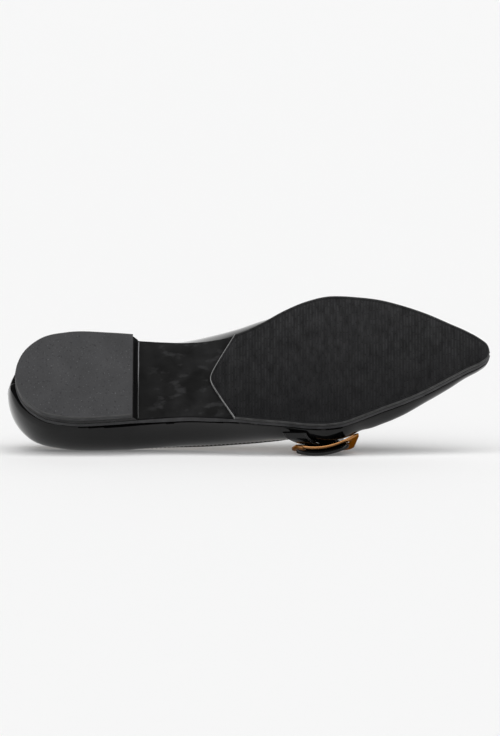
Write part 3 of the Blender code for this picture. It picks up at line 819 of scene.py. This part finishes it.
def tread_ribs(lateral, medial):
    """Corner points and faces of short ribs, in staggered columns between two edges of the half-sole."""
    points, faces = [], []
    number = 0
    columns = int((lateral[0, 0] - lateral[-1, 0]) / RIB_PITCH)
    for column in range(columns):
        x = lateral[-1, 0] + RIB_PITCH * (column + 0.5)
        low = np.interp(-x, -medial[:, 0], medial[:, 1]) + RIB_MARGIN
        high = np.interp(-x, -lateral[:, 0], lateral[:, 1]) - RIB_MARGIN
        backs = LAST.under_at([x - RIB_WIDTH / 2, x + RIB_WIDTH / 2]) - GAP - TREAD
        y = low - RIB_LENGTHS[1] * spread(column)
        while y < high:
            number += 1
            length = RIB_LENGTHS[0] + (RIB_LENGTHS[1] - RIB_LENGTHS[0]) * spread(number)
            start, end = max(y, low), min(y + length, high)
            y += length + RIB_BREAK
            if end - start < RIB_WIDTH:
                continue
            base = len(points)
            for rise, shrink in ((RIB_HEIGHT + RIB_ROOT, 1.0), (0.0, RIB_TOP)):
                half = RIB_WIDTH / 2 * shrink
                trim = RIB_WIDTH / 2 - half
                for side, back in zip((-1, 1), backs):
                    for along in (start + trim, end - trim):
                        points.append((x + side * half, along, back + rise))
            root, crest = [base + i for i in (0, 1, 3, 2)], [base + i for i in (4, 5, 7, 6)]
            faces += [tuple(root), tuple(crest)]
            faces += [(root[i], root[(i + 1) % 4], crest[(i + 1) % 4], crest[i]) for i in range(4)]
    return points, faces


def make_forepart_tread():
    """The half-sole: a plate with a plain rim, skived edges and a field of short ribs."""
    lateral, medial, v_start = tread_sides()
    half = len(lateral)
    loop = np.concatenate([lateral, medial[-2:0:-1]])
    size = len(loop)
    skive = rounded_side(0.0, TREAD, EDGE_INSET, EDGE_INSET, SKIVE, TREAD_ROUND)
    rim = skive[0][0] + RIM_WIDTH
    profile = [(rim + RIM_STEP, RIB_HEIGHT), (rim, 0.0), *skive]
    points = []
    for inset, rise in profile:
        ring = inset_loop(loop, inset)
        points += [(x, y, z - GAP - TREAD + rise) for (x, y), z in zip(ring, LAST.under_at(ring[:, 0]))]
    faces = loft_faces(len(profile), size, capped=False)
    plain, cut, skived, ribbed = range(4)
    edges = [skived if v_start - 1 <= i < size - v_start + 1 else cut for i in range(size)]
    indexes = [plain] * (2 * size) + edges * (len(skive) - 1)
    for base in (0, (len(profile) - 1) * size):
        for i in range(half - 1):
            corners = dict.fromkeys((i, i + 1, (size - i - 1) % size, (size - i) % size))
            faces.append(tuple(base + c for c in corners))
            indexes.append(plain)
    field = inset_loop(loop, rim + RIM_STEP)
    ribs, rib_faces = tread_ribs(field[:half], np.concatenate([field[:1], field[: half - 2 : -1]]))
    faces += [tuple(len(points) + i for i in f) for f in rib_faces]
    indexes += [ribbed] * len(rib_faces)
    # one rubber in two strengths: darker as painted shade on the plate between the ribs, lighter as painted
    # light on the ribs; the pale cut edges carry painted highlights
    materials = [
        tread_rubber("tread_base_painted_shade", 0.75),
        cut_rubber_highlight("tread_edge_highlight", 0.03, 0.06),
        cut_rubber_highlight("tread_skive_highlight", 0.12, 0.22),
        tread_rubber("tread_rib_painted_light", 1.15),
    ]
    return add_piece("ribbed_half_sole", points + ribs, faces, materials, "forepart_tread", indexes=indexes)


def make_insole():
    rings = []
    for row in blunt_rows(PLATE_STEPS):
        base = under(row) + SOLE + GAP
        side = rounded_side(base, base + INSOLE, INSOLE_INSET, INSOLE_INSET, *INSOLE_ROUNDS)
        rings.append(plate_ring(row, row, side))
    return add_loft("sock_lining", rings, [lining()], "insole")


# Upper

# Soft troughs across the upper: where each starts on the ridge, how it slants back per mm down the side, its
# depth and half width. A negative depth is a ridge.
Crease = namedtuple("Crease", "x slant depth half_width")
CREASES = [
    Crease(199.0, 0.35, 0.12, 3.4),
    Crease(191.5, 0.45, 0.18, 3.2),
    Crease(185.0, 0.50, -0.12, 2.8),
    Crease(179.0, 0.55, 0.20, 2.8),
    Crease(61.0, -0.10, -0.16, 3.2),
]
CREASE_TOP = 31.0
RIPPLE = 0.10  # of the drawn leather
RIPPLE_SIZE = 26.0
PLEAT = 0.10  # where the leather is drawn round the toe
PLEAT_PITCH = 4.5
PLEAT_X = 205.0
PLEAT_GROWTH = 20.0  # they are full this far ahead, and fade over this height
PLEAT_FADE = 5.0
FOOT_FADE = 0.12  # parts of the wall's height over which relief grows from the sole and fades at the collar
COLLAR_FADE = 0.08
TUCK = 0.9  # how far the wall turns in at the feather line
TUCK_HEIGHT = 1.5
HEEL_BULGE = 1.8  # how far the round heel swells out just over its seat
HEEL_BULGE_RISE = 5.0
HEEL_BULGE_FADE = 13.0
HEEL_BULGE_X = -3.0
HEEL_BULGE_REACH = 20.0
HEEL_BULGE_Y = (-11.0, 4.0)  # it grows from the medial to the lateral side
GAP_SHADE_HEIGHT = 0.9  # painted shade: height of the dark band painted on the wall over the sole, and how much it grows along the waist
GAP_SHADE_GROWTH = 1.9
GAP_SHADE_X = 78.0
GAP_SHADE_HALF_LENGTH = 36.0
GAP_SHADE_WANDER = 0.5
GAP_SHADE_WAVE = 7.0
GAP_SHADE_SEED = 4.0  # layer of the noise that it follows


def relief(point, height, rise, collar):
    """How far the leather stands out of its smooth form, fading to nothing at the sole and at the collar."""
    x, y, z = point
    fade = min(1.0, height / FOOT_FADE) * (1 - collar * max(0.0, 1 - (1 - height) / COLLAR_FADE))
    out = RIPPLE * noise.noise(Vector(point) / RIPPLE_SIZE)
    for crease in CREASES:
        off = x - crease.x + crease.slant * (CREASE_TOP - z)
        out -= crease.depth * math.exp(-((off / crease.half_width) ** 2))
    if x > PLEAT_X:
        toe = min(1.0, (x - PLEAT_X) / PLEAT_GROWTH) * math.exp(-rise / PLEAT_FADE)
        out += PLEAT * toe * math.sin(2 * math.pi * (x + abs(y - NOSE_Y)) / PLEAT_PITCH)
    tuck = TUCK * max(0.0, 1 - rise / TUCK_HEIGHT) ** 2
    return out * fade - tuck + heel_bulge(x, y, rise)


def heel_bulge(x, y, rise):
    """The heel's round swelling: quick at the feather line, fading towards the topline and the sides."""
    back = math.exp(-(((x - HEEL_BULGE_X) / HEEL_BULGE_REACH) ** 2))
    low, high = HEEL_BULGE_Y
    side = clamp((y - low) / (high - low))
    back *= side * side * (3 - 2 * side)
    swell = 1 - max(0.0, 1 - rise / HEEL_BULGE_RISE) ** 2
    fade = math.exp(-((max(0.0, rise - HEEL_BULGE_RISE) / HEEL_BULGE_FADE) ** 2))
    return HEEL_BULGE * back * swell * fade


def gap_shade_height(point):
    """Height of the band of painted shade at the feather line, uneven and widest beside the waist."""
    growth = math.exp(-(((point[0] - GAP_SHADE_X) / GAP_SHADE_HALF_LENGTH) ** 4))
    wander = noise.noise(Vector((point[0] / GAP_SHADE_WAVE, point[1] / GAP_SHADE_WAVE, GAP_SHADE_SEED)))
    return GAP_SHADE_HEIGHT + GAP_SHADE_GROWTH * growth + GAP_SHADE_WANDER * wander


class Upper:
    """Wall curves all round the feather line, lateral toe to heel and back along the medial side."""

    def __init__(self):
        rows = [LAST.row(p) for p in LAST.stations(UPPER_STEPS)]
        self.throat = THROAT * UPPER_STEPS
        lateral = [wall_curve(r, False, WALL_STEPS) for r in rows]
        medial = [wall_curve(r, True, WALL_STEPS) for r in rows]
        for k in range(self.throat + 1):
            ridge = (lateral[k][-1] + medial[k][-1]) / 2
            lateral[k][-1] = ridge
            medial[k][-1] = ridge
        self.columns = np.array(lateral + medial[-2:0:-1])
        self.count = len(self.columns)
        self.heel = len(rows) - 1
        self.normals = self.find_normals()
        self.outer = self.columns + self.normals * self.find_relief()[:, :, None]

    def find_normals(self):
        """Ways out of the closed sheet, made one on the ridge where both sides meet."""
        along = np.roll(self.columns, -1, axis=0) - np.roll(self.columns, 1, axis=0)
        up = np.gradient(self.columns, axis=1)
        normals = unit(np.cross(along, up))
        if np.sum(normals * (self.columns - self.columns.mean(axis=(0, 1)))) < 0:
            normals = -normals
        for k in range(self.throat + 1):
            other = -k % self.count
            joint = unit(normals[k, -2] + normals[other, -2])
            normals[k, -1] = normals[other, -1] = joint
        pole = POLE * UPPER_STEPS
        top = unit(normals[pole + 1, -1] + normals[pole, -2] + normals[0, -2])
        for k in range(-pole, pole + 1):
            normals[k, -1] = top
        return normals

    def find_relief(self):
        heights = np.linspace(0, 1, WALL_STEPS + 1) ** FOOT_CROWDING
        found = np.zeros((self.count, WALL_STEPS + 1))
        for k in range(self.count):
            rises = np.linalg.norm(self.columns[k] - self.columns[k, 0], axis=1)
            collar = clamp((min(k, self.count - k) - self.throat) / UPPER_STEPS)
            found[k] = [relief(p, h, r, collar) for p, h, r in zip(self.columns[k], heights, rises)]
        return found

    def topline(self):
        """Indexes of the columns round the collar, from the throat by the lateral side and back to it."""
        return range(self.throat, self.count - self.throat)

    def skin(self):
        """The outer sheet, to find places on it."""
        size = WALL_STEPS + 1
        faces = []
        for k in range(self.count):
            a, b = k * size, (k + 1) % self.count * size
            faces += [(a + i, b + i, b + i + 1, a + i + 1) for i in range(WALL_STEPS)]
        return BVHTree.FromPolygons([Vector(p) for p in self.outer.reshape(-1, 3)], faces)


def make_upper(upper):
    """The hollow upper: patent outside, lining inside, joined at the feather line and under the binding,
    with painted shade along the feather line.
    """
    inner = upper.columns - WALL * upper.normals
    size = WALL_STEPS + 1
    total = upper.count * size
    points = np.concatenate([upper.outer.reshape(-1, 3), inner.reshape(-1, 3)])
    collar = set(upper.topline())
    outside, inside, shadow = range(3)
    faces, indexes = [], []
    for k in range(upper.count):
        a, b = k * size, (k + 1) % upper.count * size
        foot, gap = upper.columns[k, 0], gap_shade_height(upper.columns[k, 0])
        for i in range(WALL_STEPS):
            faces.append((a + i, b + i, b + i + 1, a + i + 1))
            faces.append((total + a + i, total + a + i + 1, total + b + i + 1, total + b + i))
            # the wall's foot, up to that height, is painted black as the shade of the gap
            in_painted_shade = np.linalg.norm(upper.columns[k, i + 1] - foot) < gap
            indexes += [shadow if in_painted_shade else outside, inside]
        # the face that joins the two sheets at the feather line is painted shade as well
        faces.append((a, total + a, total + b, b))
        indexes.append(shadow)
        if k in collar:
            top = WALL_STEPS
            faces.append((a + top, b + top, total + b + top, total + a + top))
            indexes.append(outside)
    materials = [patent(), lining(), gap_shadow()]
    return add_piece("patent_upper", points, faces, materials, "upper", indexes=indexes)


BINDING_HALF_WIDTH = WALL / 2 + 0.25
BINDING_HALF_HEIGHT = 1.5
BINDING_RISE = 0.5  # of its top over the wall's edge
BINDING_SIDES = 14
TOP_STITCH_DROP = 3.2
THROAT_REACH = 12  # columns on each side that share the throat's rounding
THROAT_PASSES = 24


def round_throat(values):
    """Values round the collar, evened out on both sides of the throat."""
    away = np.arange(len(values))
    share = np.clip(1 - np.minimum(away, len(values) - away) / THROAT_REACH, 0, 1)[:, None]
    for _ in range(THROAT_PASSES):
        between = (np.roll(values, 1, axis=0) + np.roll(values, -1, axis=0)) / 2
        values = values + share * (between - values) / 2
    return values


def make_topline(upper):
    """The rolled binding round the collar and the row of stitches under it."""
    ks = list(upper.topline())
    tops = round_throat(upper.columns[ks, -1])
    normals = unit(round_throat(upper.normals[ks, -1]))
    ups = unit(np.cross(np.roll(tops, -1, axis=0) - np.roll(tops, 1, axis=0), normals))
    if np.sum(ups * (tops - upper.columns[ks, -2])) < 0:
        ups = -ups
    path = tops - normals * WALL / 2 - ups * (BINDING_HALF_HEIGHT - BINDING_RISE)
    rings = tube_rings(path, ups, BINDING_HALF_WIDTH, BINDING_HALF_HEIGHT, BINDING_SIDES, closed=True)
    add_loft("topline_binding", rings, [patent_edge()], closed=True)
    skin = upper.skin()
    line = [skin.find_nearest(Vector(p))[0] for p in tops - ups * TOP_STITCH_DROP]
    add_stitches("topline_stitches", [(np.array(line), normals)])


BACK_SEAM_RADIUS = 0.42
BACK_SEAM_SUNK = 0.3
BACK_SEAM_SIDES = 8
BACK_SEAM_RUN = slice(2, -3)  # part of the wall's steps, clear of sole and binding


def make_back_seam(upper):
    """The closed seam down the middle of the heel, as a fine ridge."""
    normals = upper.normals[upper.heel, BACK_SEAM_RUN]
    path = upper.outer[upper.heel, BACK_SEAM_RUN] - normals * BACK_SEAM_SUNK
    rings = tube_rings(path, normals, BACK_SEAM_RADIUS, BACK_SEAM_RADIUS, BACK_SEAM_SIDES)
    add_loft("back_seam", rings, [patent_edge()])


# Strap, tab and buckle

EDGE_ROUND = 0.9  # the strap's thickness rounds off over this width at its edges
END_ROUND = 1.8  # corners of the strap's free end
END_EASE = 0.1  # how far these corners stand out on each side
LEAST_THICK = 0.1  # part of a band's thickness that is left at its edges
END_FOLD = 0.55  # how much thicker the folded end is
FOLD_REACH = (9.0, 13.0)  # where the fold thins out
STRAP_DIP = 0.2  # towards the floor, between the bars
STRAP_STITCH_INSET = 1.9
STRAP_STITCH_START = 1.0
NEARBY = 0.05  # for the way that a middle line runs


def band_frames(rows, steps):
    """Along a band: (y, z, x, half width, bow), the way into the shoe and the distance from its start."""
    values = np.array(rows)
    values = np.vstack([2 * values[0] - values[1], values, 2 * values[-1] - values[-2]])
    knots = np.concatenate([[0], np.cumsum(np.linalg.norm(np.diff(values[:, :2], axis=0), axis=1))])
    places = np.linspace(knots[1], knots[-2], steps + 1)
    line = smooth(knots, values, places)
    ahead = smooth(knots, values, np.clip(places + NEARBY, None, knots[-2]))
    behind = smooth(knots, values, np.clip(places - NEARBY, knots[1], None))
    run = unit((ahead - behind)[:, :2])
    return line, np.stack([-run[:, 1], run[:, 0]], axis=1), places - places[0]


def end_width(half, reach, corner):
    """Half width of a band at a distance from its end, with its corners rounded."""
    if reach >= corner:
        return half
    return half - corner + math.sqrt(corner**2 - (corner - reach) ** 2) + END_EASE


def fold_part(reach):
    """1 where the strap's end is folded double, falling to 0 behind it."""
    start, end = FOLD_REACH
    return clamp((end - reach) / (end - start))


def band_rings(rows, thickness, steps, corner):
    """Rings of a flat band with rounded edges along rows of its middle line, bowed across its width."""
    rings = []
    for (y, z, x, half, part), (in_y, in_z), reach in zip(*band_frames(rows, steps)):
        half = end_width(half, reach, corner)
        thin = math.sqrt(1 - max(0.0, 1 - reach / EDGE_ROUND) ** 2) if corner else 1.0
        outer, inner = [], []
        for i in range(ACROSS_STEPS + 1):
            share = math.sin(math.pi * (i / ACROSS_STEPS - 0.5))
            here = x + half * share
            near_edge = max(0.0, 1 - half * (1 - abs(share)) / EDGE_ROUND)
            reach_out = thickness / 2 * max(LEAST_THICK, thin * math.sqrt(1 - near_edge**2))
            lift = part * bow(here)
            reach_in = reach_out + (END_FOLD * fold_part(reach) if corner else 0.0)
            outer.append((here, y + in_y * (lift - reach_out), z + in_z * (lift - reach_out)))
            inner.append((here, y + in_y * (lift + reach_in), z + in_z * (lift + reach_in)))
        rings.append(outer + inner[::-1])
    return rings


def band_stitch_runs(rows, thickness, steps, inset, corner, skip):
    """Paths along both edges of a band's outer face, with the way that it faces."""
    line, inwards, reaches = band_frames(rows, steps)
    runs = []
    for side in (-1, 1):
        path, facing = [], []
        for (y, z, x, half, part), (in_y, in_z), reach in zip(line, inwards, reaches):
            if reach < skip:
                continue
            here = x + side * (end_width(half, reach, corner) - inset)
            shift = part * bow(here) - thickness / 2
            path.append((here, y + in_y * shift, z + in_z * shift))
            facing.append((0.0, -in_y, -in_z))
        runs.append((np.array(path), np.array(facing)))
    return runs


def strap_rows():
    """From its free end, over the near bar, under the far bar, over the instep to the medial topline.

    By the buckle its edges are drawn up to 2.2 mm further out than the frame has them.
    """
    lay = STRAP / 2
    under_bar = BUCKLE_BAR_DEPTH + 2 * GAP + lay
    by_the_floor = [
        FloorRow(0.0, lay, 162.4, 14.2, 1.0),
        FloorRow(BUCKLE_NEAR_W, lay, 165.4, 11.6, 1.0),
        FloorRow(14.0, lay, 165.0, 11.8, 1.0),
        FloorRow(22.0, under_bar - STRAP_DIP, 164.1, 12.2, 0.5),
        FloorRow(BUCKLE_FAR_W, under_bar, 163.0, 12.0, FAR_BOW),
    ]
    rows = [StrapRow(*by_floor(r.w, r.h), r.x, r.half, r.bow) for r in by_the_floor]
    rows += [
        StrapRow(17.0, 46.5, 162.6, 12.0, 0.0),
        StrapRow(7.0, 53.0, 161.2, 11.6, 0.0),
        StrapRow(-6.0, 56.0, 160.2, STRAP_HALF_WIDTH, 0.0),
        StrapRow(-19.0, 54.0, 160.0, STRAP_HALF_WIDTH, 0.0),
        StrapRow(-29.5, 47.5, 160.0, STRAP_HALF_WIDTH, 0.0),
        StrapRow(-34.5, 40.0, 160.0, STRAP_HALF_WIDTH, 0.0),
    ]
    return rows


STRAP_SEWN = 1.2  # how far the strap's root goes down into the topline


def strap_root(ring):
    """The strap's last ring, sewn into the medial topline point by point."""
    middle_y = sum(p[1] for p in ring) / len(ring)
    root = []
    for x, y, _ in ring:
        row = LAST.row(LAST.at_top_x(x))
        root.append((x, row.med_y + WALL / 2 + (y - middle_y), row.med_z - STRAP_SEWN))
    return root


def make_instep_strap():
    rows = strap_rows()
    rings = band_rings(rows, STRAP, STRAP_STEPS, END_ROUND)
    rings.append(strap_root(rings[-1]))
    add_loft("patent_instep_strap", rings, [patent()], "instep_strap")
    runs = band_stitch_runs(rows, STRAP, STRAP_STEPS, STRAP_STITCH_INSET, END_ROUND, STRAP_STITCH_START)
    add_stitches("strap_stitches", runs)


def tab_rows():
    """From the feather line out to the inside of the buckle's near bar."""
    over_bar = STRAP + BUCKLE_CLEAR + BUCKLE_BAR_DEPTH + GAP + TAB / 2
    _, bar_w = turn_buckle(TAB_END_X, BUCKLE_NEAR_W)
    end_y, end_z = by_floor(bar_w + TAB_OVERLAP, over_bar)
    return [
        StrapRow(30.5, 6.2, 147.8, TAB_HALF_WIDTH, 0.0),
        StrapRow(32.2, 9.0, 149.4, TAB_HALF_WIDTH, 0.0),
        StrapRow(end_y + 0.5, end_z - 5.2, 152.2, TAB_HALF_WIDTH, 0.5),
        StrapRow(end_y, end_z, TAB_END_X, TAB_HALF_WIDTH, 1.0),
    ]


TAB_STITCH_INSET = 1.1
TAB_STITCH_START = 0.5
TAB_STITCH_PITCH = 1.9
TAB_STITCH_LENGTH = 1.4


def make_strap_tab():
    rows = tab_rows()
    add_loft("patent_strap_tab", band_rings(rows, TAB, TAB_STEPS, 0.0), [patent()], "strap_tab")
    runs = band_stitch_runs(rows, TAB, TAB_STEPS, TAB_STITCH_INSET, 0.0, TAB_STITCH_START)
    add_stitches("tab_stitches", runs, TAB_STITCH_PITCH, TAB_STITCH_LENGTH)


def turn_buckle(x, w):
    """A point of the buckle's frame after its turn about the frame's middle."""
    off_x = x - BUCKLE_X
    off_w = w - (BUCKLE_NEAR_W + BUCKLE_FAR_W) / 2
    turned_x = off_x * math.cos(BUCKLE_TURN) - off_w * math.sin(BUCKLE_TURN)
    turned_w = off_x * math.sin(BUCKLE_TURN) + off_w * math.cos(BUCKLE_TURN)
    return x - off_x + turned_x, w - off_w + turned_w


BAR_POINTS = 24
BAR_SQUARENESS = 0.45  # 1 is an ellipse, less is squarer


def bar_section():
    """Softly squared section of the buckle's bar, as steps out of the frame and up off the floor."""
    section = []
    for turn in full_turn(BAR_POINTS):
        out, up = math.cos(turn), math.sin(turn)
        out = math.copysign(abs(out) ** BAR_SQUARENESS, out)
        up = math.copysign(abs(up) ** BAR_SQUARENESS, up)
        section.append((out * BUCKLE_BAR_WIDTH / 2, up * BUCKLE_BAR_DEPTH / 2))
    return section


def frame_path():
    """Points round the buckle's middle line: x, w and the way out of the frame."""
    middle_w = (BUCKLE_NEAR_W + BUCKLE_FAR_W) / 2
    run = BUCKLE_HALF_LENGTH - BUCKLE_CORNER
    rise = (BUCKLE_FAR_W - BUCKLE_NEAR_W) / 2 - BUCKLE_CORNER
    path = []
    for quarter, (side_x, side_w) in enumerate(((1, 1), (-1, 1), (-1, -1), (1, -1))):
        for i in range(CORNER_STEPS + 1):
            turn = math.radians(90 * (quarter + i / CORNER_STEPS))
            x = BUCKLE_X + side_x * run + BUCKLE_CORNER * math.cos(turn)
            w = middle_w + side_w * rise + BUCKLE_CORNER * math.sin(turn)
            path.append((x, w, math.cos(turn), math.sin(turn)))
        if side_x == side_w:
            x, w, out_x, out_w = path[-1]
            path += [(x - 2 * side_x * run * i / BAR_STEPS, w, out_x, out_w) for i in range(1, BAR_STEPS)]
    return path


def make_buckle_frame():
    near_h = STRAP + BUCKLE_CLEAR + BUCKLE_BAR_DEPTH / 2
    far_h = BUCKLE_BAR_DEPTH / 2
    rings = []
    for x, w, out_x, out_w in frame_path():
        ring = []
        for out, up in bar_section():
            here_x, here_w = x + out * out_x, w + out * out_w
            part = (here_w - BUCKLE_NEAR_W) / (BUCKLE_FAR_W - BUCKLE_NEAR_W)
            here_x, here_w = turn_buckle(here_x, here_w)
            rise = bow(here_x) * (1 + part * (FAR_BOW - 1))
            h = near_h + part * (far_h - near_h) + up + rise
            ring.append((here_x, *by_floor(here_w, h)))
        rings.append(ring)
    return add_loft("gold_buckle_frame", rings, [gold_plate()], "buckle_frame", closed=True)


# Stage, light and camera

VIEW_DISTANCE = 3.0
VIEW_ELEVATION = math.radians(4.0)
FIELD_HEIGHT = 0.3894  # of the picture at the shoe
SENSOR = 36.0
VIEW_CENTRE = (124.5, -3.6, 0.0)  # on the sole, in the standing shoe's millimetres
FLOOR_HALF = 150.0
FLOOR_TONE = 0.76
FLOOR_GLOW = 0.14
ROOM = 0.05  # brightness of the room round the light
# Bright parts of the surroundings: the way to the middle of each, the cosines of the angles off it at which
# it starts and is full, and its brightness
Lobe = namedtuple("Lobe", "way start full value")
LOBES = [
    Lobe((0.0, -0.58, 0.81), 0.66, 0.86, 2.6),
    Lobe((0.10, 0.93, 0.35), 0.84, 0.94, 1.35),
]


def make_stage():
    """A floor that runs on past the picture's edges."""
    corners = [(x * FLOOR_HALF, y * FLOOR_HALF, 0.0) for x, y in ((-1, -1), (1, -1), (1, 1), (-1, 1))]
    mesh = bpy.data.meshes.new("floor")
    mesh.from_pydata(corners, [], [(0, 1, 2, 3)])
    mesh.materials.append(pale_floor())
    floor = bpy.data.objects.new("floor", mesh)
    bpy.context.scene.collection.objects.link(floor)


def make_light():
    """A dim room with a big soft light above the front and a bright backdrop."""
    scene = bpy.context.scene
    scene.world = bpy.data.worlds.new("light_tent")
    scene.world.use_nodes = True
    nodes, links = scene.world.node_tree.nodes, scene.world.node_tree.links
    way = nodes.new("ShaderNodeTexCoord").outputs["Generated"]
    total = None
    for lobe in LOBES:
        towards = nodes.new("ShaderNodeVectorMath")
        towards.operation = "DOT_PRODUCT"
        towards.inputs[1].default_value = Vector(lobe.way).normalized()
        links.new(way, towards.inputs[0])
        part = nodes.new("ShaderNodeMapRange")
        part.interpolation_type = "SMOOTHSTEP"
        for socket, value in zip(("From Min", "From Max", "To Max"), lobe[1:]):
            part.inputs[socket].default_value = value
        links.new(towards.outputs["Value"], part.inputs["Value"])
        plus = nodes.new("ShaderNodeMath")
        plus.inputs[0].default_value = ROOM
        if total is not None:
            links.new(total, plus.inputs[0])
        links.new(part.outputs["Result"], plus.inputs[1])
        total = plus.outputs["Value"]
    links.new(total, nodes["Background"].inputs["Color"])
    scene.view_settings.view_transform = "Standard"
    scene.view_settings.look = "None"


def make_camera():
    camera = bpy.data.cameras.new("camera")
    camera.sensor_width = SENSOR
    camera.lens = SENSOR * VIEW_DISTANCE / FIELD_HEIGHT
    eye = bpy.data.objects.new("camera", camera)
    centre = PLACE @ (Vector(VIEW_CENTRE) * MM)
    back = Vector((0.0, -math.cos(VIEW_ELEVATION), math.sin(VIEW_ELEVATION)))
    eye.location = centre + back * VIEW_DISTANCE
    eye.rotation_mode = "QUATERNION"
    eye.rotation_quaternion = (-back).to_track_quat("-Z", "Y")
    bpy.context.scene.collection.objects.link(eye)
    bpy.context.scene.camera = eye


def main():
    make_heel_lift()
    make_heel_block()
    make_breast_bead()
    make_outsole()
    make_forepart_tread()
    make_insole()
    upper = Upper()
    make_upper(upper)
    make_topline(upper)
    make_back_seam(upper)
    make_instep_strap()
    make_strap_tab()
    make_buckle_frame()
    make_stage()
    make_light()
    make_camera()


main()
